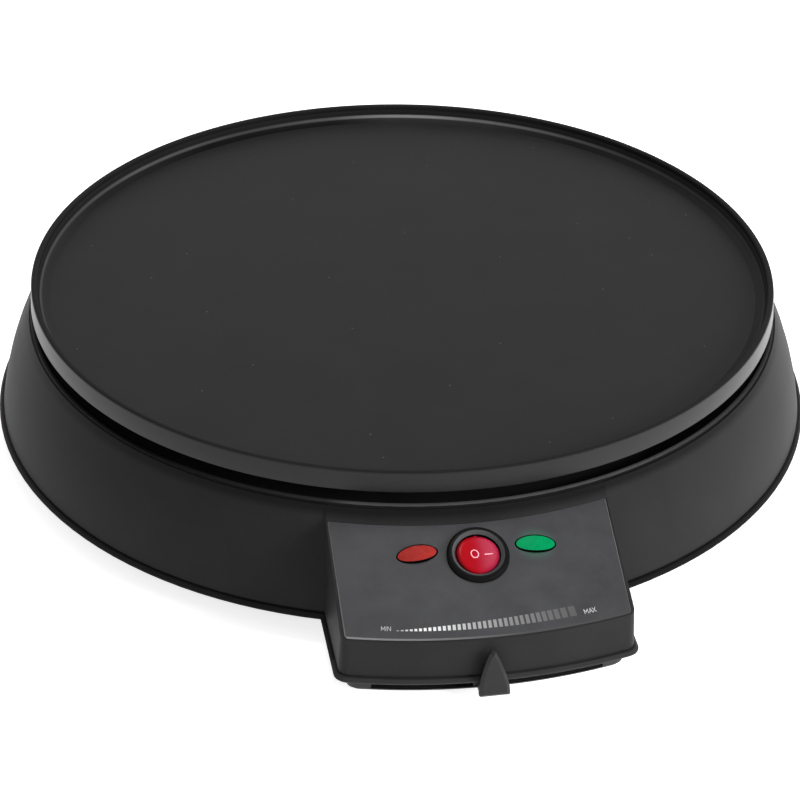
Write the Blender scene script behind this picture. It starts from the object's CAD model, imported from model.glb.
"""Looks, light and camera of the electric crepe maker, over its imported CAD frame. Shapes are drawn
in millimetres and scaled in piece(). Materials, lights and the camera are in metres."""

import math

import bpy
from mathutils import Matrix, Vector


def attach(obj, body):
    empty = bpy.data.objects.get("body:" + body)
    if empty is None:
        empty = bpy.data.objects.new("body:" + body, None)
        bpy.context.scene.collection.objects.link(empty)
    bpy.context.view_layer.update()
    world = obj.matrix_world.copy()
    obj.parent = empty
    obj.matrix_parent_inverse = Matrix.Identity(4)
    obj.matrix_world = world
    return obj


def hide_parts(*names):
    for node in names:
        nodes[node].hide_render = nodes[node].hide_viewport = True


bpy.context.scene.view_settings.view_transform = "Standard"
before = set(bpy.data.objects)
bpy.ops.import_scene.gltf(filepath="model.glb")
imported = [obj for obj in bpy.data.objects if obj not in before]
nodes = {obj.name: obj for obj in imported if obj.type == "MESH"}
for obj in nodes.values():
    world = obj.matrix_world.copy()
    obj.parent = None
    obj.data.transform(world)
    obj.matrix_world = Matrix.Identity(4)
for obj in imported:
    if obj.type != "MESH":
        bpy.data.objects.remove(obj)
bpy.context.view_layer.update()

MM = 0.001
AXIS_Y = 17.75  # the plate's centre line stands this far behind the origin

# Hotplate and the skirt's lip: radii and heights
PLATE_R, PLATE_TOP = 150.0, 65.5
BAND_Z, BAND_FLARE, BAND_EDGE_R, BAND_FOOT_W = 57.2, 0.4, 0.4, 3.0
RIM_W, RIM_ROUND, RIM_WALL_Z, RIM_FILLET, SURFACE_Z = 2.5, 0.9, 63.6, 4.0, 59.3
LIP_C, LIP_ROUND, LIP_SINK = (149.7, 50.7), 1.3, 0.03
SKIN, FILLET_SKIN = 0.04, 0.3  # how far a coated skin stands off the solid under it

# Control panel: a cone about the plate's centre line, over the control box's leaning front wall
BOX_FRONT_R, BOX_WALL_H, BOX_DRAFT = 199.8, 17.4, 3.0
PANEL_BACK_R, PANEL_BACK_Z = 155.0, 46.0
PANEL_FRONT_R = BOX_FRONT_R - BOX_WALL_H * math.tan(math.radians(BOX_DRAFT))
PANEL_FRONT_Z = 26.4
PANEL_TAN = (PANEL_BACK_Z - PANEL_FRONT_Z) / (PANEL_FRONT_R - PANEL_BACK_R)
PANEL_A = math.atan(PANEL_TAN)
PANEL_PROUD = 0.5 / math.cos(PANEL_A)  # the face stands this far above the cone at its front

# Chin and the lever's slot in it
CHIN_R, SLOT_A, SLOT_EDGE_Z = 195.8, 12.5, (3.3, 3.85)

# Indicator lenses: place right and in front of the plate's centre, turn, length, width and dome
LENS_U, LENS_V, LENS_TURN, LENS_L, LENS_W = 21.7, 164.6, 3.0, 15.0, 7.0
LENS_TOP, LENS_DOME_R = 1.1, 30.0
LENS_TRIM = ((0.03, -0.3), (0.03, 0.03), (-0.4, 0.03))  # outside the outline, above the dome
LENS_R = math.hypot(LENS_U, LENS_V)

# Switch: place, tilt of the key at rest, slope of its vee, and heights
SWITCH_V, ROCKER_TILT, ROCKER_VEE, ROCKER_TOP, PIVOT_DROP = 167.5, 6.0, 8.0, 1.6, 0.9
KEY_R, KEY_BALL_R, KEY_EDGE, KEY_ROLL = 8.0, 8.2, 1.7, 0.8
KEY_CREASE, KEY_CREASE_BACK, KEY_SINK = 2.6, 1.2, 0.05
KEY_SIDE_Z = (-0.8, -2.0, -3.2)  # heights of the rings of its ball-shaped side
KEY_PIN_R, KEY_PIN_HALF = 1.1, 8.1
KEY_STEM_R, KEY_STEM_HALF, KEY_STEM_Z = 2.6, 2.5, -3.7
PIN_CORE = 0.01  # radius left open in a pin's end
BEZEL_BEVEL = [(9.5, 2.04), (9.28, 2.0), (8.62, 1.05), (8.3, 0.95)]
BEZEL_LINING = [(8.31, 0.93), (8.28, 0.4)]

# Knob: outline, radii of its root, back and front about the plate's centre line, lean, the neck
# behind it, and the steps of its rounded front edge
KNOB_W, KNOB_H, KNOB_Z, KNOB_TIP, KNOB_FOOT, KNOB_BOW = 11.4, 19.8, 4.3, 1.3, 0.8, 0.45
KNOB_ROOT, KNOB_BACK, KNOB_FRONT = 196.3, 201.8, 204.0
KNOB_SHIFT, KNOB_LEAN = 0.35, 1.1
KNOB_NECK_H, KNOB_NECK_SINK, KNOB_NECK_LIFT = 5.0, 0.5, 0.02
KNOB_BACK_INSET, KNOB_FLANK_CUTS = 0.05, 16
KNOB_EDGE = ((0.95, 0.0), (0.8, 0.1), (0.2, 0.95), (0.05, 1.2), (0.0, 1.45))  # depth, inset

PLATE_STEPS, SWITCH_STEPS, KEY_STEPS, PIN_STEPS, LENS_STEPS, SLOT_STEPS = 320, 128, 96, 32, 96, 40


def panel_z(r):
    """Height of the panel's cone at a radius from the plate's centre line."""
    return PANEL_BACK_Z - (r - PANEL_BACK_R) * PANEL_TAN


def panel_face_z(r):
    """Height of the panel's face, which rises out of the cone towards its front."""
    return panel_z(r) + PANEL_PROUD * (r - PANEL_BACK_R) / (PANEL_FRONT_R - PANEL_BACK_R)


# ---------------------------------------------------------------- shader nodes


def feed(owner, node, inputs):
    """Sets each input of a node, given by name or number, to a value or links it to a socket."""
    for key, value in inputs.items():
        if isinstance(value, bpy.types.NodeSocket):
            owner.node_tree.links.new(value, node.inputs[key])
        else:
            node.inputs[key].default_value = value


def shader(owner, kind, inputs, **settings):
    """A new shader node of a material or the world."""
    node = owner.node_tree.nodes.new("ShaderNode" + kind)
    for key, value in settings.items():
        setattr(node, key, value)
    feed(owner, node, inputs)
    return node


def skin(mat, inputs):
    """Feeds the material's Principled BSDF."""
    feed(mat, mat.node_tree.nodes["Principled BSDF"], inputs)


def colour_of(mat):
    """The socket that gives the material's colour so far."""
    return mat.node_tree.nodes["Principled BSDF"].inputs["Base Color"].links[0].from_socket


def place_on(mat):
    """The place on the object, in its own frame."""
    return mat.node_tree.nodes["Texture Coordinate"].outputs["Object"]


def one_of(mat, vector, axis):
    """One coordinate of a vector."""
    return shader(mat, "SeparateXYZ", {"Vector": vector}).outputs[axis]


def calc(owner, operation, first, second):
    """The result of an operation on two numbers."""
    return shader(owner, "Math", {0: first, 1: second}, operation=operation).outputs["Value"]


def share_between(mat, value, low, high):
    """0 up to low, 1 from high on, and straight between them."""
    inputs = {"Value": value, "From Min": low, "From Max": high}
    return shader(mat, "MapRange", inputs).outputs["Result"]


def blend(mat, share, first, second, mode="MIX"):
    """The first colour, turned by a share towards the second or towards its product with it."""
    inputs = {"Factor": share, "A": first, "B": second}
    return shader(mat, "Mix", inputs, data_type="RGBA", blend_type=mode).outputs["Result"]


def tones_along(mat, axis, low, high, tones):
    """Grey tones by place on the object, along an axis from low to high."""
    along = share_between(mat, one_of(mat, place_on(mat), axis), low, high)
    fade = shader(mat, "ValToRGB", {"Fac": along})
    ramp = fade.color_ramp
    while len(ramp.elements) < len(tones):
        ramp.elements.new(0.5)
    for element, (place, tone) in zip(ramp.elements, tones):
        element.position = place
        element.color = (tone, tone, tone, 1)
    return fade.outputs["Color"]


# ---------------------------------------------------------------- materials


def surface(name, colour, rough, mottle, metallic=0.0, spec=0.5, grain=None, wear=0.0, edge=0.0):
    """Procedural finish. Colour and roughness drift in clouds of mottle[0] to the metre, the colour
    by the share mottle[1] and the roughness the more so with wear. A bump has grain[0] grains to
    the metre, grain[1] metres deep. Edges look rounded to the radius edge."""
    mat = bpy.data.materials.new(name)
    mat.use_nodes = True
    place = shader(mat, "TexCoord", {}).outputs["Object"]
    cloud = shader(mat, "TexNoise", {"Vector": place, "Scale": mottle[0], "Detail": 4,
                                     "Roughness": 0.6}).outputs["Fac"]
    ramp = shader(mat, "ValToRGB", {"Fac": cloud})
    for element, at, share in zip(ramp.color_ramp.elements, (0.3, 0.7),
                                  (1 - mottle[1], 1 + mottle[1])):
        element.position = at
        element.color = (*[min(1.0, c * share) for c in colour], 1)
    drift = 0.04 + wear
    spread = shader(mat, "MapRange", {"Value": cloud, "To Min": max(0.02, rough - drift),
                                      "To Max": min(1.0, rough + drift)})
    skin(mat, {"Base Color": ramp.outputs["Color"], "Roughness": spread.outputs["Result"],
               "Metallic": metallic, "Specular IOR Level": spec})
    normal = {}
    if edge:
        bevel = shader(mat, "Bevel", {"Radius": edge}, samples=6)
        normal = {"Normal": bevel.outputs["Normal"]}
    if grain:
        fine = shader(mat, "TexNoise", {"Vector": place, "Scale": grain[0], "Detail": 3})
        bump = shader(mat, "Bump", {"Height": fine.outputs["Fac"], "Strength": 1.0,
                                    "Distance": grain[1], **normal})
        normal = {"Normal": bump.outputs["Normal"]}
    skin(mat, normal)
    return mat


MOULDED = {"grain": (2600, 0.00002), "edge": 0.0004}
COATED = {"mottle": (60, 0.08), "grain": (2500, 0.000004)}
COVERED = {"mottle": (300, 0.1), "grain": (2500, 0.00001)}

base_black = surface("base_black", (0.0245, 0.0245, 0.025), 0.55, (60, 0.12), spec=0.09, **MOULDED)
cover_black = surface("cover_black", (0.02, 0.02, 0.0205), 0.5, (80, 0.1), spec=0.3, **MOULDED)
panel_grey = surface("panel_grey", (0.0285, 0.0287, 0.031), 0.47, (90, 0.22), spec=0.18,
                     grain=(2600, 0.000015))
plate_black = surface("plate_black", (0.0145, 0.0145, 0.0147), 0.4, (40, 0.08), spec=0.055,
                      grain=(1500, 0.000006))
band_black = surface("band_black", (0.011, 0.011, 0.0113), 0.32, spec=0.2, **COATED)
rim_black = surface("rim_black", (0.009, 0.009, 0.0092), 0.5, spec=0.04, **COATED)
lip_black = surface("lip_black", (0.055, 0.055, 0.056), 0.45, spec=0.03, **COATED)
step_black = surface("step_black", (0.15, 0.15, 0.151), 0.45, spec=0.04, **COATED)
foot_black = surface("foot_black", (0.0145, 0.0145, 0.0147), 0.5, spec=0.04, **COATED)
switch_black = surface("switch_black", (0.003, 0.003, 0.0033), 0.4, (200, 0.1), spec=0.06,
                       grain=(3000, 0.000005), edge=0.0002)
gap_black = surface("gap_black", (0.001, 0.001, 0.001), 0.7, (200, 0.1), spec=0.02)
ring_grey = surface("ring_grey", (0.055, 0.055, 0.057), 0.45, (300, 0.1), spec=0.1,
                    grain=(3000, 0.000003))
lever_black = surface("lever_black", (0.011, 0.011, 0.0113), 0.4, (150, 0.1), spec=0.2,
                      grain=(3000, 0.00001))
foot_rubber = surface("foot_rubber", (0.012, 0.012, 0.012), 0.75, (200, 0.15), spec=0.2,
                      grain=(2500, 0.00003))
rocker_red = surface("rocker_red", (0.25, 0.0, 0.004), 0.26, (150, 0.04), spec=0.1,
                     grain=(1500, 0.000002))
steel = surface("steel", (0.55, 0.56, 0.57), 0.35, (250, 0.12), metallic=1.0,
                grain=(2500, 0.00001), wear=0.06)
sheath_steel = surface("sheath_steel", (0.2, 0.18, 0.16), 0.5, (90, 0.3), metallic=1.0,
                       grain=(2500, 0.00001), wear=0.08)
shield_aluminium = surface("shield_aluminium", (0.6, 0.6, 0.6), 0.38, (40, 0.08), metallic=1.0,
                           grain=(1500, 0.00001), wear=0.06)
brass = surface("brass", (0.68, 0.46, 0.18), 0.32, (300, 0.12), metallic=1.0,
                grain=(2500, 0.000006), wear=0.05)
bimetal = surface("bimetal", (0.62, 0.5, 0.3), 0.36, (300, 0.1), metallic=1.0,
                  grain=(2500, 0.000006))
ceramic = surface("ceramic", (0.72, 0.68, 0.58), 0.7, (400, 0.08), grain=(2500, 0.00002))
sleeve = surface("fuse_sleeve", (0.72, 0.73, 0.69), 0.8, (900, 0.2), grain=(3000, 0.00006))
ivory = surface("ivory_plastic", (0.7, 0.66, 0.54), 0.5, (120, 0.06), grain=(2000, 0.00001))
glass = surface("lamp_glass", (0.85, 0.8, 0.72), 0.08, (200, 0.03))
skin(glass, {"Transmission Weight": 0.9})
wire_brown = surface("wire_brown", (0.16, 0.06, 0.025), 0.5, **COVERED)
wire_blue = surface("wire_blue", (0.02, 0.07, 0.3), 0.5, **COVERED)
wire_green = surface("wire_green", (0.1, 0.3, 0.03), 0.5, **COVERED)


def lens_material(name, colour, glow, strength):
    """Tinted lens with fine cells moulded behind its face, and the lamp's light through it."""
    mat = surface(name, colour, 0.42, (350, 0.2), spec=0.03)
    cells = shader(mat, "TexVoronoi", {"Vector": place_on(mat), "Scale": 1100})
    bump = shader(mat, "Bump", {"Height": cells.outputs["Distance"], "Distance": 0.00008})
    skin(mat, {"Normal": bump.outputs["Normal"], "Emission Color": (*glow, 1),
               "Emission Strength": strength})
    return mat


lens_red = lens_material("lens_red", (0.235, 0.019, 0.016), (0.5, 0.03, 0.02), 0.06)
lens_green = lens_material("lens_green", (0.0, 0.12, 0.038), (0.0, 0.55, 0.2), 0.25)


def add_stripe(mat, colour, scale):
    """Adds the earth wire's second colour, which spirals round the lead."""
    wave = shader(mat, "TexWave", {"Vector": place_on(mat), "Scale": scale},
                  bands_direction="DIAGONAL")
    stripe = calc(mat, "GREATER_THAN", wave.outputs["Fac"], 0.6)
    skin(mat, {"Base Color": blend(mat, stripe, colour_of(mat), (*colour, 1))})


def add_specks(mat, cells, radius, tone):
    """Adds sparse light specks to a coating, one in each cell of a loose pattern that has so many
    cells to the metre."""
    near = shader(mat, "TexVoronoi", {"Vector": place_on(mat), "Scale": cells},
                  voronoi_dimensions="2D").outputs["Distance"]
    speck = calc(mat, "LESS_THAN", near, radius * cells)
    skin(mat, {"Base Color": blend(mat, speck, colour_of(mat), (tone, tone, tone, 1))})


def add_glow(mat, centre, colour, inner, outer):
    """Adds a lit lens's light on the panel: a soft patch round the lens, fixed to the panel."""
    away = shader(mat, "VectorMath", {0: place_on(mat), 1: centre}, operation="SUBTRACT")
    flat = shader(mat, "VectorMath", {0: away.outputs["Vector"], 1: (0.9, 1, 1)},
                  operation="MULTIPLY")
    reach = shader(mat, "VectorMath", {0: flat.outputs["Vector"]}, operation="LENGTH")
    fall = shader(mat, "MapRange", {"Value": reach.outputs["Value"], "From Min": inner,
                                    "From Max": outer, "To Min": 1.0, "To Max": 0.0},
                  interpolation_type="SMOOTHERSTEP")
    patch = blend(mat, fall.outputs["Result"], (0, 0, 0, 1), (*colour, 1))
    skin(mat, {"Emission Color": patch, "Emission Strength": 1.0})


PANEL_HALF_W, EDGE_FRONT_Y, EDGE_BACK_Y = 0.055, -0.17, -0.145
EDGE_NORMAL_Z = (0.2, 0.82)


def light_edges(mat, front, sides):
    """Gives the panel's bevelled edges lighter tones, as polished edges have. They are the faces
    whose normals' height lies between the two of EDGE_NORMAL_Z. Both rows of tones run from left
    to right, the one for the front edge and the other for the side edges behind it."""
    height = one_of(mat, shader(mat, "NewGeometry", {}).outputs["True Normal"], "Z")
    bevel = calc(mat, "MULTIPLY", calc(mat, "GREATER_THAN", height, EDGE_NORMAL_Z[0]),
                 calc(mat, "LESS_THAN", height, EDGE_NORMAL_Z[1]))
    back = share_between(mat, one_of(mat, place_on(mat), "Y"), EDGE_FRONT_Y, EDGE_BACK_Y)
    rows = [tones_along(mat, "X", -PANEL_HALF_W, PANEL_HALF_W, row) for row in (front, sides)]
    skin(mat, {"Base Color": blend(mat, bevel, colour_of(mat), blend(mat, back, *rows))})


BOX_FRONT_Y = -0.165  # a plane just behind the control box's front wall


def shade_by_place(mat, axis, low, high, shares, front=None):
    """Scales the colour by place, as in the shadow of a bead or under a rim. With front, only
    before (True) or behind (False) the plane at BOX_FRONT_Y."""
    where = 1.0
    if front is not None:
        where = calc(mat, "LESS_THAN" if front else "GREATER_THAN",
                     one_of(mat, place_on(mat), "Y"), BOX_FRONT_Y)
    shade = tones_along(mat, axis, low, high, shares)
    skin(mat, {"Base Color": blend(mat, where, colour_of(mat), shade, "MULTIPLY")})


def tint_half(mat, colour, low, high):
    """Turns the colour towards another from low to high along X."""
    share = share_between(mat, one_of(mat, place_on(mat), "X"), low, high)
    skin(mat, {"Base Color": blend(mat, share, colour_of(mat), (*colour, 1))})


add_stripe(wire_green, (0.7, 0.55, 0.02), scale=60)
add_specks(plate_black, cells=20, radius=0.0003, tone=0.09)
tint_half(rocker_red, (0.33, 0.012, 0.042), low=-0.002, high=0.005)
light_edges(panel_grey, ((0.0, 0.17), (0.3, 0.12), (0.6, 0.045), (1.0, 0.03)),
            ((0.0, 0.17), (1.0, 0.12)))
add_glow(panel_grey, (LENS_U * MM, (AXIS_Y - LENS_V) * MM, panel_z(LENS_R) * MM),
         (0.0, 0.06, 0.03), inner=0.0025, outer=0.0085)

# Spans of the rows of tones: the housing's height, the hotplate's width and the light line's height
HOUSING_SPAN, RIM_SPAN, LINE_SPAN = (0.0, 0.05), (-0.15, 0.15), (0.0603, 0.0617)

# Skirt, from its dark bead over its wall to its dark lip, then the control box's front wall, which
# is darker than its bead
shade_by_place(base_black, "Z", *HOUSING_SPAN, (
    (0.0, 0.2), (0.225, 0.2), (0.228, 0.61), (0.93, 0.61), (0.98, 0.2), (1.0, 0.18)), front=False)
shade_by_place(base_black, "Z", *HOUSING_SPAN, (
    (0.0, 1.0), (0.225, 1.0), (0.228, 0.67), (1.0, 0.67)), front=True)

# The skirt's lip, then the light line of the far rim and its foot, all from left to right
shade_by_place(lip_black, "X", *RIM_SPAN, (
    (0.0, 0.03), (0.12, 0.04), (0.2, 0.25), (0.33, 0.4), (0.36, 1.0), (0.7, 0.8), (0.88, 0.4),
    (1.0, 0.04)))
shade_by_place(step_black, "X", *RIM_SPAN, (
    (0.0, 0.27), (0.09, 0.24), (0.18, 0.37), (0.28, 0.26), (0.37, 0.22), (0.48, 0.39), (0.56, 0.95),
    (0.6, 1.0), (0.68, 0.57), (0.78, 0.4), (0.86, 0.24), (1.0, 0.1)))
shade_by_place(step_black, "Z", *LINE_SPAN, ((0.0, 0.3), (0.3, 1.0), (0.65, 1.0), (1.0, 0.15)))
shade_by_place(foot_black, "X", *RIM_SPAN, (
    (0.0, 1.0), (0.06, 0.95), (0.1, 0.6), (0.2, 0.5), (0.28, 0.15), (0.48, 0.25), (0.56, 1.0),
    (0.7, 0.8), (0.82, 0.3), (0.93, 0.6), (1.0, 1.0)))

FINISH = {
    "housing": base_black, "bottom_cover": cover_black, "control_panel": panel_grey,
    "cooking_plate": plate_black, "heating_element": sheath_steel, "element_pins": steel,
    "heat_shield": shield_aluminium, "plate_spacers": steel, "plate_screws": steel,
    "thermostat_frame": steel, "thermostat_insulators": ceramic, "contact_blades": brass,
    "bimetal_strip": bimetal, "thermostat_screws": steel, "thermal_fuse": sleeve,
    "fuse_clip": steel, "clip_screws": steel, "earth_terminal": brass,
    "switch_body": switch_black, "switch_terminals": brass, "rocker": rocker_red,
    "switch_plunger": ivory, "contact_bridge": brass, "red_lens": lens_red,
    "green_lens": lens_green, "lamp_holders": ivory, "neon_lamps": glass,
    "terminal_block": ivory, "terminal_tubes": brass, "live_wires": wire_brown,
    "neutral_wires": wire_blue, "earth_wire": wire_green, "cord_gland": cover_black,
    "gland_nut": cover_black, "feet": foot_rubber, "foot_screws": steel, "cover_screws": steel,
    "thermostat_shaft": steel, "lever_arm": lever_black, "lever_knob": lever_black,
    "shaft_clip": steel,
}
for node_name, finish in FINISH.items():
    nodes[node_name].data.materials.clear()
    nodes[node_name].data.materials.append(finish)


# ---------------------------------------------------------------- finer pieces

PLATE_FRAME = Matrix.Translation((0, AXIS_Y, 0))

# Frame of the switch: origin on the panel's face, z along its normal
SWITCH_FRAME = Matrix.Translation((0, AXIS_Y - SWITCH_V, panel_z(SWITCH_V))) @ Matrix.Rotation(
    PANEL_A, 4, "X")
KEY_FRAME = SWITCH_FRAME @ Matrix.Translation((0, 0, -PIVOT_DROP)) @ Matrix.Rotation(
    math.radians(ROCKER_TILT), 4, "Y")


def piece(name, shape, mat, body, smooth=False):
    """Adds a piece from its (verts, faces), which rides on a body and belongs to a slot."""
    verts, faces = shape
    mesh = bpy.data.meshes.new(name)
    mesh.from_pydata([Vector(v) * MM for v in verts], [], faces)
    mesh.validate()
    mesh.materials.append(mat)
    if smooth:
        mesh.shade_smooth()
    obj = bpy.data.objects.new(name, mesh)
    bpy.context.scene.collection.objects.link(obj)
    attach(obj, body)
    return obj


def soft(obj, angle):
    """Smooth shading with a crease where faces meet at more than the angle."""
    obj.data.set_sharp_from_angle(angle=math.radians(angle))
    return obj


def circle(steps, rx, ry=None):
    """Points of a circle about the origin, or of an ellipse."""
    turns = [2 * math.pi * k / steps for k in range(steps)]
    return [(rx * math.cos(t), (rx if ry is None else ry) * math.sin(t)) for t in turns]


def on_circle(centre, radius, angle):
    """The point of a circle at an angle in degrees."""
    a = math.radians(angle)
    return centre[0] + radius * math.cos(a), centre[1] + radius * math.sin(a)


def round_arc(centre, radius, a0, a1, n):
    """Points of an arc, angles in degrees."""
    return [on_circle(centre, radius, a0 + (a1 - a0) * k / n) for k in range(n + 1)]


def turned_faces(steps, n):
    """Faces of a closed row of steps profiles with n points each."""
    faces = []
    for k in range(steps):
        a, b = k * n, (k + 1) % steps * n
        faces += [(a + i, b + i, b + i + 1, a + i + 1) for i in range(n - 1)]
    return faces


def lathe(profile, steps, place):
    """Surface of an open (radius, height) profile turned about the z axis of a place."""
    verts = []
    for k in range(steps):
        t = 2 * math.pi * k / steps
        verts += [place @ Vector((r * math.cos(t), r * math.sin(t), z)) for r, z in profile]
    return verts, turned_faces(steps, len(profile))


def turned(name, profile, mat, steps=PLATE_STEPS, place=PLATE_FRAME):
    """Adds a smooth turned piece to the base."""
    piece(name, lathe(profile, steps, place), mat, "base", smooth=True)


def rim_top():
    """The hotplate's rim as a turned and coated surface."""
    inner, round_z = PLATE_R - RIM_W, PLATE_TOP - RIM_ROUND
    return ([(inner - SKIN, RIM_WALL_Z)]
            + round_arc((inner + RIM_ROUND, round_z), RIM_ROUND + SKIN, 180, 90, 8)
            + round_arc((PLATE_R - RIM_ROUND, round_z), RIM_ROUND + SKIN, 90, 45, 4))


def side_band():
    """The hotplate's side band, from the rim's shoulder to its lower edge."""
    edge = (PLATE_R + BAND_FLARE - BAND_EDGE_R, BAND_Z + BAND_EDGE_R)
    return (round_arc((PLATE_R - RIM_ROUND, PLATE_TOP - RIM_ROUND), RIM_ROUND + SKIN, 45, 3, 4)
            + [(PLATE_R + BAND_FLARE / 2 + SKIN, (PLATE_TOP + BAND_Z) / 2)]
            + round_arc(edge, BAND_EDGE_R + SKIN, 3, -90, 5)
            + [(PLATE_R - BAND_FOOT_W, BAND_Z - SKIN)])


def fillet(top, foot):
    """The skin of the hotplate's inner fillet between two heights."""
    r, cr, cz = RIM_FILLET - FILLET_SKIN, PLATE_R - RIM_W - RIM_FILLET, SURFACE_Z + RIM_FILLET
    heights = [top + (foot - top) * k / 8 for k in range(9)]
    return [(cr + math.sqrt(r * r - (cz - z) ** 2), z) for z in heights]


# The fillet's skin from the rim's wall down to the cooking surface, and the heights between which
# it catches the light
RIM_SHOULDER, RIM_TOE = [(147.44, 63.0), (147.3, 62.8), (147.05, 62.5)], [(143.0, 59.33)]
FILLET_TOP, LIGHT_TOP, LIGHT_FOOT, FILLET_FOOT = 62.1, 61.6, 60.35, 59.7

turned("rim_top", rim_top(), rim_black)
turned("rim_shoulder", RIM_SHOULDER + fillet(FILLET_TOP, LIGHT_TOP), rim_black)
turned("rim_line", fillet(LIGHT_TOP, LIGHT_FOOT), step_black)
turned("rim_foot", fillet(LIGHT_FOOT, FILLET_FOOT) + RIM_TOE, foot_black)
turned("side_band", side_band(), band_black)
turned("bezel_bevel", BEZEL_BEVEL, ring_grey, SWITCH_STEPS, SWITCH_FRAME)
turned("bezel_lining", BEZEL_LINING, gap_black, SWITCH_STEPS, SWITCH_FRAME)
turned("lip_shade", round_arc(LIP_C, LIP_ROUND + SKIN, 180, 98, 9), gap_black)
turned("lip_band", round_arc(LIP_C, LIP_ROUND + SKIN, 98, 42, 7)
       + [on_circle(LIP_C, LIP_ROUND - LIP_SINK, 34)], lip_black)


def key_z(x, r=0.0):
    """Height of the key's face above its pivot: a vee with a soft crease and a rolled edge."""
    slope = math.tan(math.radians(ROCKER_VEE))
    z = ROCKER_TOP + (math.hypot(x, KEY_CREASE) - KEY_CREASE_BACK) * slope - KEY_SINK
    roll = max(0.0, r - (KEY_R - KEY_EDGE)) / KEY_EDGE
    return z - KEY_EDGE * KEY_ROLL * (1 - math.sqrt(max(0.0, 1 - min(1.0, roll) ** 2)))


def key_body():
    """The switch's key: face, rolled edge, ball-shaped side, pivot pins and stem."""
    # Rings of the face lie closer together in its rolled edge
    radii = [KEY_R * k / 14 for k in range(1, 11)] + [
        KEY_R - KEY_EDGE * (1 - math.sin(math.pi / 2 * k / 8)) for k in range(9)]
    rings = [[(x, y, key_z(x, q)) for x, y in circle(KEY_STEPS, q)]
             for q in sorted({round(q, 4) for q in radii})]
    rings += [[(x, y, z) for x, y in circle(KEY_STEPS, math.sqrt(KEY_BALL_R ** 2 - z * z))]
              for z in KEY_SIDE_Z]
    verts, rows = [Vector((0, 0, key_z(0)))], []
    for ring in rings:
        rows.append(len(verts))
        verts += [Vector(point) for point in ring]
    faces = [(0, rows[0] + k, rows[0] + (k + 1) % KEY_STEPS) for k in range(KEY_STEPS)]
    for a, b in zip(rows, rows[1:]):
        for k in range(KEY_STEPS):
            j = (k + 1) % KEY_STEPS
            faces.append((a + k, b + k, b + j, a + j))
    faces.append(tuple(rows[-1] + k for k in reversed(range(KEY_STEPS))))
    across = Matrix.Rotation(math.radians(90), 4, "X")
    down = Matrix.Translation((0, 0, KEY_STEM_Z))
    for place, radius, half in ((across, KEY_PIN_R, KEY_PIN_HALF),
                                (down, KEY_STEM_R, KEY_STEM_HALF)):
        outline = [(PIN_CORE, -half), (radius, -half), (radius, half), (PIN_CORE, half)]
        pin, sides = lathe(outline, PIN_STEPS, place)
        faces += [tuple(len(verts) + v for v in face) for face in sides]
        verts += pin
    return [KEY_FRAME @ v for v in verts], faces


def knob_side(inset):
    """Right half of the knob's outline from the middle of its foot up to its tip, drawn in by
    inset."""
    w, h = KNOB_W / 2 - inset, KNOB_H - 2 * inset
    tip, foot = max(KNOB_TIP - inset, 0.4), max(KNOB_FOOT - inset, 0.25)
    points = [(0, 0)] + round_arc((w - foot, foot), foot, -90, 0, 5)
    # The flank bows outwards between a fifth of the height and the tip's rounding
    a, b = Vector((w - 0.15, 0.2 * h)), Vector((tip * 0.95, h - 0.8 * tip))
    out = Vector((b.y - a.y, a.x - b.x)).normalized()
    for k in range(KNOB_FLANK_CUTS + 1):
        t = k / KNOB_FLANK_CUTS
        bow = KNOB_BOW * 4 * t * (1 - t)
        points.append(tuple(a + (b - a) * t + out * bow))
    points += round_arc((0, h - tip), tip, 15, 90, 6)
    return [(x, y + inset) for x, y in points]


def knob_body():
    """The knob: softly rounded front edges, and the neck that runs back to the lever."""
    verts, faces, rows = [], [], []
    layers = [(0.0, KNOB_BACK_INSET)]
    layers += [(KNOB_FRONT - KNOB_BACK - back, inset) for back, inset in KNOB_EDGE]
    for depth, inset in layers:
        side = knob_side(inset)
        ring = side + [(-x, z) for x, z in reversed(side[1:-1])]
        rows.append(len(verts))
        verts += [(x + KNOB_SHIFT - KNOB_LEAN * z / KNOB_H, AXIS_Y - KNOB_BACK - depth, KNOB_Z + z)
                  for x, z in ring]
    n = rows[1]
    for a, b in zip(rows, rows[1:]):
        for k in range(n):
            j = (k + 1) % n
            faces.append((a + k, a + j, b + j, b + k))
    for start, flip in ((rows[0], 1), (rows[-1], -1)):
        for k in range(n // 2):
            quad = [start + k, start + k + 1, start + (n - k - 1) % n, start + (n - k) % n]
            quad = list(dict.fromkeys(quad))
            if len(quad) > 2:
                faces.append(tuple(quad[::flip]))
    x, foot, top = KNOB_W / 2 - KNOB_FOOT, KNOB_Z + KNOB_NECK_LIFT, KNOB_Z + KNOB_NECK_H
    start = len(verts)
    for y in (AXIS_Y - KNOB_BACK - KNOB_NECK_SINK, AXIS_Y - KNOB_ROOT):
        verts += [(-x, y, foot), (x, y, foot), (x, y, top), (-x, y, top)]
    faces += [tuple(start + i for i in f) for f in (
        (0, 1, 2, 3), (7, 6, 5, 4), (0, 4, 5, 1), (1, 5, 6, 2), (2, 6, 7, 3), (3, 7, 4, 0))]
    return verts, faces


key = soft(piece("key", key_body(), rocker_red, "rocker_key", smooth=True), 40)
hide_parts("rocker")
knob = soft(piece("knob", knob_body(), lever_black, "lever", smooth=True), 24)
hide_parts("lever_knob")


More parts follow.
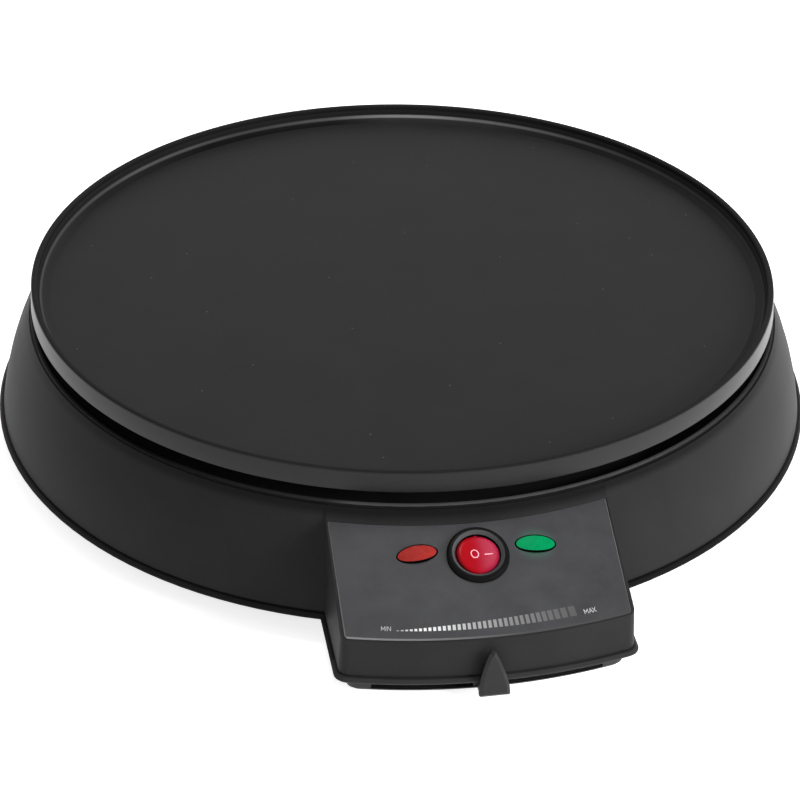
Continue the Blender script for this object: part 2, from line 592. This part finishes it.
def lens_trim(side):
    """Dark edge of an indicator lens: its side and a narrow ring on its domed face."""
    azimuth = math.atan2(LENS_U, LENS_V)
    place = (PLATE_FRAME @ Matrix.Rotation(side * azimuth, 4, "Z")
             @ Matrix.Translation((0, -LENS_R, panel_z(LENS_R)))
             @ Matrix.Rotation(PANEL_A, 4, "X")
             @ Matrix.Rotation(-side * (azimuth + math.radians(LENS_TURN)), 4, "Z"))
    rings = []
    for grow, lift in LENS_TRIM:
        outline = circle(LENS_STEPS, LENS_L / 2 + grow, LENS_W / 2 + grow)
        dome = [LENS_TOP - LENS_DOME_R + math.sqrt(LENS_DOME_R ** 2 - x * x - y * y)
                for x, y in outline]
        rings.append([place @ Vector((x, y, lift if lift < 0 else z + lift))
                      for (x, y), z in zip(outline, dome)])
    verts = [point for profile in zip(*rings) for point in profile]
    return verts, turned_faces(LENS_STEPS, len(rings))


piece("red_trim", lens_trim(-1), gap_black, "base")
piece("green_trim", lens_trim(1), gap_black, "base")


def slot_edge():
    """Dark edge below the lever's slot, on the chin's front."""
    verts, r = [], CHIN_R + SKIN
    for k in range(SLOT_STEPS + 1):
        t = math.radians(-SLOT_A + 2 * SLOT_A * k / SLOT_STEPS)
        verts += [(r * math.sin(t), AXIS_Y - r * math.cos(t), z) for z in SLOT_EDGE_Z]
    return verts, [(2 * k, 2 * k + 2, 2 * k + 3, 2 * k + 1) for k in range(SLOT_STEPS)]


piece("slot_edge", slot_edge(), gap_black, "base")

# ---------------------------------------------------------------- print on panel and key

PRINT_LIFT = 0.03
SCALE_R, BARS, BAR_CUTS = 195.05, 34, 2
PRINT_HALF_W = 0.034  # half of the printed scale's width, metres


def on_panel(r, a):
    """A point just above the panel's face, at radius r and angle a (degrees) to the right."""
    t = math.radians(a)
    return (r * math.sin(t), AXIS_Y - r * math.cos(t), panel_face_z(r) + PRINT_LIFT)


def bar_angle(t):
    """Angle of a bar's middle, from 0 at the scale's low end to 1 at its high end."""
    return -9.78 + 15.17 * t + 2.9 * t * t + 0.68 * t ** 20


def bar_width(t):
    """Width of a bar in degrees."""
    return (0.95 + 0.4 * t + 1.15 * t ** 12) / SCALE_R * 180 / math.pi


def bar_height(t):
    """Height of a bar towards the middle of the plate."""
    return 0.25 + 3.5 * (1 - (1 - t) ** 1.5)


def scale_bars():
    """The scale's bars, each cut along its width to follow the panel."""
    verts, faces = [], []
    for i in range(BARS):
        t = i / (BARS - 1)
        a0 = bar_angle(t) - bar_width(t) / 2
        start = len(verts)
        for k in range(BAR_CUTS + 1):
            a = a0 + bar_width(t) * k / BAR_CUTS
            verts += [on_panel(SCALE_R, a), on_panel(SCALE_R - bar_height(t), a)]
        for k in range(start, start + 2 * BAR_CUTS, 2):
            faces.append((k, k + 2, k + 3, k + 1))
    return verts, faces


GRID_H = 6
LETTERS = {  # strokes, on a grid GRID_H high
    "M": [((0, 0), (0, 6)), ((0, 6), (2.5, 1.6)), ((2.5, 1.6), (5, 6)), ((5, 6), (5, 0))],
    "I": [((0, 0), (0, 6))],
    "N": [((0, 0), (0, 6)), ((0, 6), (4.4, 0)), ((4.4, 0), (4.4, 6))],
    "A": [((0, 0), (2.3, 6)), ((2.3, 6), (4.6, 0)), ((0.8, 2), (3.8, 2))],
    "X": [((0, 0), (4.4, 6)), ((0, 6), (4.4, 0))],
}
ADVANCE = {"M": 6.7, "I": 2.1, "N": 6.0, "A": 5.4, "X": 5.4}


def lettering(word, u0, base_r, cap_h, stroke):
    """A word along the panel's arc, from u0 to the right of the middle, its foot at base_r."""
    verts, faces = [], []
    unit = cap_h / GRID_H
    x = 0.0
    for letter in word:
        for (x0, y0), (x1, y1) in LETTERS[letter]:
            p, q = Vector((x + x0, y0)) * unit, Vector((x + x1, y1)) * unit
            d = (q - p).normalized()
            n = Vector((-d.y, d.x)) * stroke / 2
            start = len(verts)
            for w in (p - n - d * stroke / 2, q - n + d * stroke / 2, q + n + d * stroke / 2,
                      p + n - d * stroke / 2):
                a = math.degrees((u0 + w.x) / base_r)
                verts.append(on_panel(base_r - w.y, a))
            faces.append((start, start + 1, start + 2, start + 3))
        x += ADVANCE[letter]
    return verts, faces


# The key's symbols: an oval ring, and a dash in short lengths that follow the vee
RING_C, RING_RX, RING_RY, RING_W = (-1.4, 0.2), 1.55, 1.75, 0.36
RING_STEPS, DASHES = 40, 6
DASH_X, DASH_Y, DASH_L, DASH_W = 2.2, -0.4, 0.5, 0.42


def key_symbols():
    """The key's oval ring and its dash."""
    outer = circle(RING_STEPS, RING_RX, RING_RY)
    inner = circle(RING_STEPS, RING_RX - RING_W, RING_RY - RING_W)
    points = [(RING_C[0] + x, RING_C[1] + y) for pair in zip(inner, outer) for x, y in pair]
    faces = []
    for i in range(RING_STEPS):
        j = (i + 1) % RING_STEPS
        faces.append((2 * i + 1, 2 * j + 1, 2 * j, 2 * i))
    for k in range(DASHES):
        x0, x1, y1 = DASH_X + k * DASH_L, DASH_X + (k + 1) * DASH_L, DASH_Y + DASH_W
        start = len(points)
        points += [(x0, DASH_Y), (x1, DASH_Y), (x1, y1), (x0, y1)]
        faces.append((start, start + 1, start + 2, start + 3))
    return [KEY_FRAME @ Vector((x, y, key_z(x) + PRINT_LIFT)) for x, y in points], faces


PRINTED = {"grain": (4000, 0.000003)}
scale_ink = surface("scale_ink", (0.5, 0.5, 0.5), 0.5, (1500, 0.05), spec=0.2, **PRINTED)
skin(scale_ink, {"Base Color": tones_along(scale_ink, "X", -PRINT_HALF_W, PRINT_HALF_W, (
    (0.0, 0.25), (0.06, 0.4), (0.12, 0.62), (0.22, 0.56), (0.4, 0.27), (0.6, 0.155), (0.8, 0.085),
    (1.0, 0.05)))})
word_ink = surface("word_ink", (0.36, 0.36, 0.36), 0.5, (1500, 0.06), spec=0.2, **PRINTED)
key_ink = surface("key_ink", (0.9, 0.35, 0.42), 0.4, (1500, 0.03), spec=0.3, **PRINTED)

piece("scale_print", scale_bars(), scale_ink, "base")
piece("min_print", lettering("MIN", -39.1, 194.95, 1.5, 0.19), word_ink, "base")
piece("max_print", lettering("MAX", 34.8, 195.05, 1.6, 0.22), word_ink, "base")
piece("key_print", key_symbols(), key_ink, "rocker_key")

# ---------------------------------------------------------------- camera, floor and light

CAM_DIST, CAM_ELEV, CAM_AZ = 1.1286, math.radians(32.04), math.radians(9.8)
CAM_PAN, CAM_TILT, CAM_ROLL = math.radians(-0.02), math.radians(32.36), math.radians(0.797)
CAM_AIM_Z = 0.009
SENSOR_W, FOCAL_PX, PICTURE_PX = 36, 2704, 800
WHITE = (1, 1, 1, 1)


def make_camera():
    """Places the camera on its circle about the plate's centre line, then pans, tilts and rolls."""
    turn = Matrix.Rotation(-CAM_AZ, 3, "Z")
    centre = Vector((0, AXIS_Y * MM, CAM_AIM_Z))
    place = turn @ Vector((0, -CAM_DIST * math.cos(CAM_ELEV), CAM_DIST * math.sin(CAM_ELEV)))
    forward = turn @ Vector((math.sin(CAM_PAN) * math.cos(CAM_TILT),
                             math.cos(CAM_PAN) * math.cos(CAM_TILT), -math.sin(CAM_TILT)))
    right = forward.cross(Vector((0, 0, 1))).normalized()
    up = right.cross(forward)
    right, up = (math.cos(CAM_ROLL) * right + math.sin(CAM_ROLL) * up,
                 math.cos(CAM_ROLL) * up - math.sin(CAM_ROLL) * right)
    data = bpy.data.cameras.new("camera")
    data.lens = SENSOR_W * FOCAL_PX / PICTURE_PX
    data.sensor_width = SENSOR_W
    data.clip_start, data.clip_end = 0.01, 50
    cam = bpy.data.objects.new("camera", data)
    bpy.context.scene.collection.objects.link(cam)
    axes = Matrix((right, up, -forward)).transposed()
    cam.matrix_world = Matrix.Translation(centre + place) @ axes.to_4x4()
    bpy.context.scene.camera = cam


def camera_or_mirror(owner):
    """1 for camera, glossy and transmission rays, 0 for the rays that light the object."""
    path = shader(owner, "LightPath", {})
    seen = path.outputs["Is Camera Ray"]
    for other in ("Is Glossy Ray", "Is Transmission Ray"):
        seen = calc(owner, "MAXIMUM", seen, path.outputs[other])
    return seen


def make_world(level):
    """Grey light of a level all round, seen as white."""
    world = bpy.data.worlds.new("world")
    bpy.context.scene.world = world
    world.use_nodes = True
    lit = world.node_tree.nodes["Background"]
    feed(world, lit, {"Color": (level, level, level, 1)})
    white = shader(world, "Background", {"Color": WHITE})
    mix = shader(world, "MixShader", {"Fac": camera_or_mirror(world),
                                      1: lit.outputs["Background"],
                                      2: white.outputs["Background"]})
    feed(world, world.node_tree.nodes["World Output"], {"Surface": mix.outputs["Shader"]})


def make_floor(size, lift):
    """Pale floor that keeps the object's shadow, and that a glow of strength lift turns white."""
    mesh = bpy.data.meshes.new("floor")
    mesh.from_pydata([(-size, -size, 0), (size, -size, 0), (size, size, 0), (-size, size, 0)], [],
                     [(0, 1, 2, 3)])
    floor = bpy.data.objects.new("floor", mesh)
    bpy.context.scene.collection.objects.link(floor)
    mat = bpy.data.materials.new("floor_white")
    mat.use_nodes = True
    skin(mat, {"Base Color": (0.9, 0.9, 0.9, 1), "Roughness": 0.9, "Specular IOR Level": 0.0})
    strength = calc(mat, "MULTIPLY", camera_or_mirror(mat), lift)
    glow = shader(mat, "Emission", {"Color": WHITE, "Strength": strength})
    plain = mat.node_tree.nodes["Principled BSDF"].outputs["BSDF"]
    both = shader(mat, "AddShader", {0: plain, 1: glow.outputs["Emission"]})
    feed(mat, mat.node_tree.nodes["Material Output"], {"Surface": both.outputs["Shader"]})
    mesh.materials.append(mat)


def area_light(name, place, aim, size, power, gloss=True):
    """Adds a square lamp. Without gloss it gives light but no reflections."""
    data = bpy.data.lights.new(name, "AREA")
    data.shape = "RECTANGLE"
    data.size, data.size_y = size, size
    data.energy = power
    lamp = bpy.data.objects.new(name, data)
    bpy.context.scene.collection.objects.link(lamp)
    lamp.location = place
    lamp.visible_glossy = gloss
    lamp.rotation_euler = (Vector(aim) - Vector(place)).to_track_quat("-Z", "Y").to_euler()


make_camera()
make_world(level=0.5)
make_floor(size=12.0, lift=0.75)
area_light("top_light", (0.05, 0.22, 1.3), (0, 0, 0), 0.5, 7.5)
area_light("right_light", (0.95, -0.85, 0.45), (0, 0, 0.03), 0.6, 25, gloss=False)
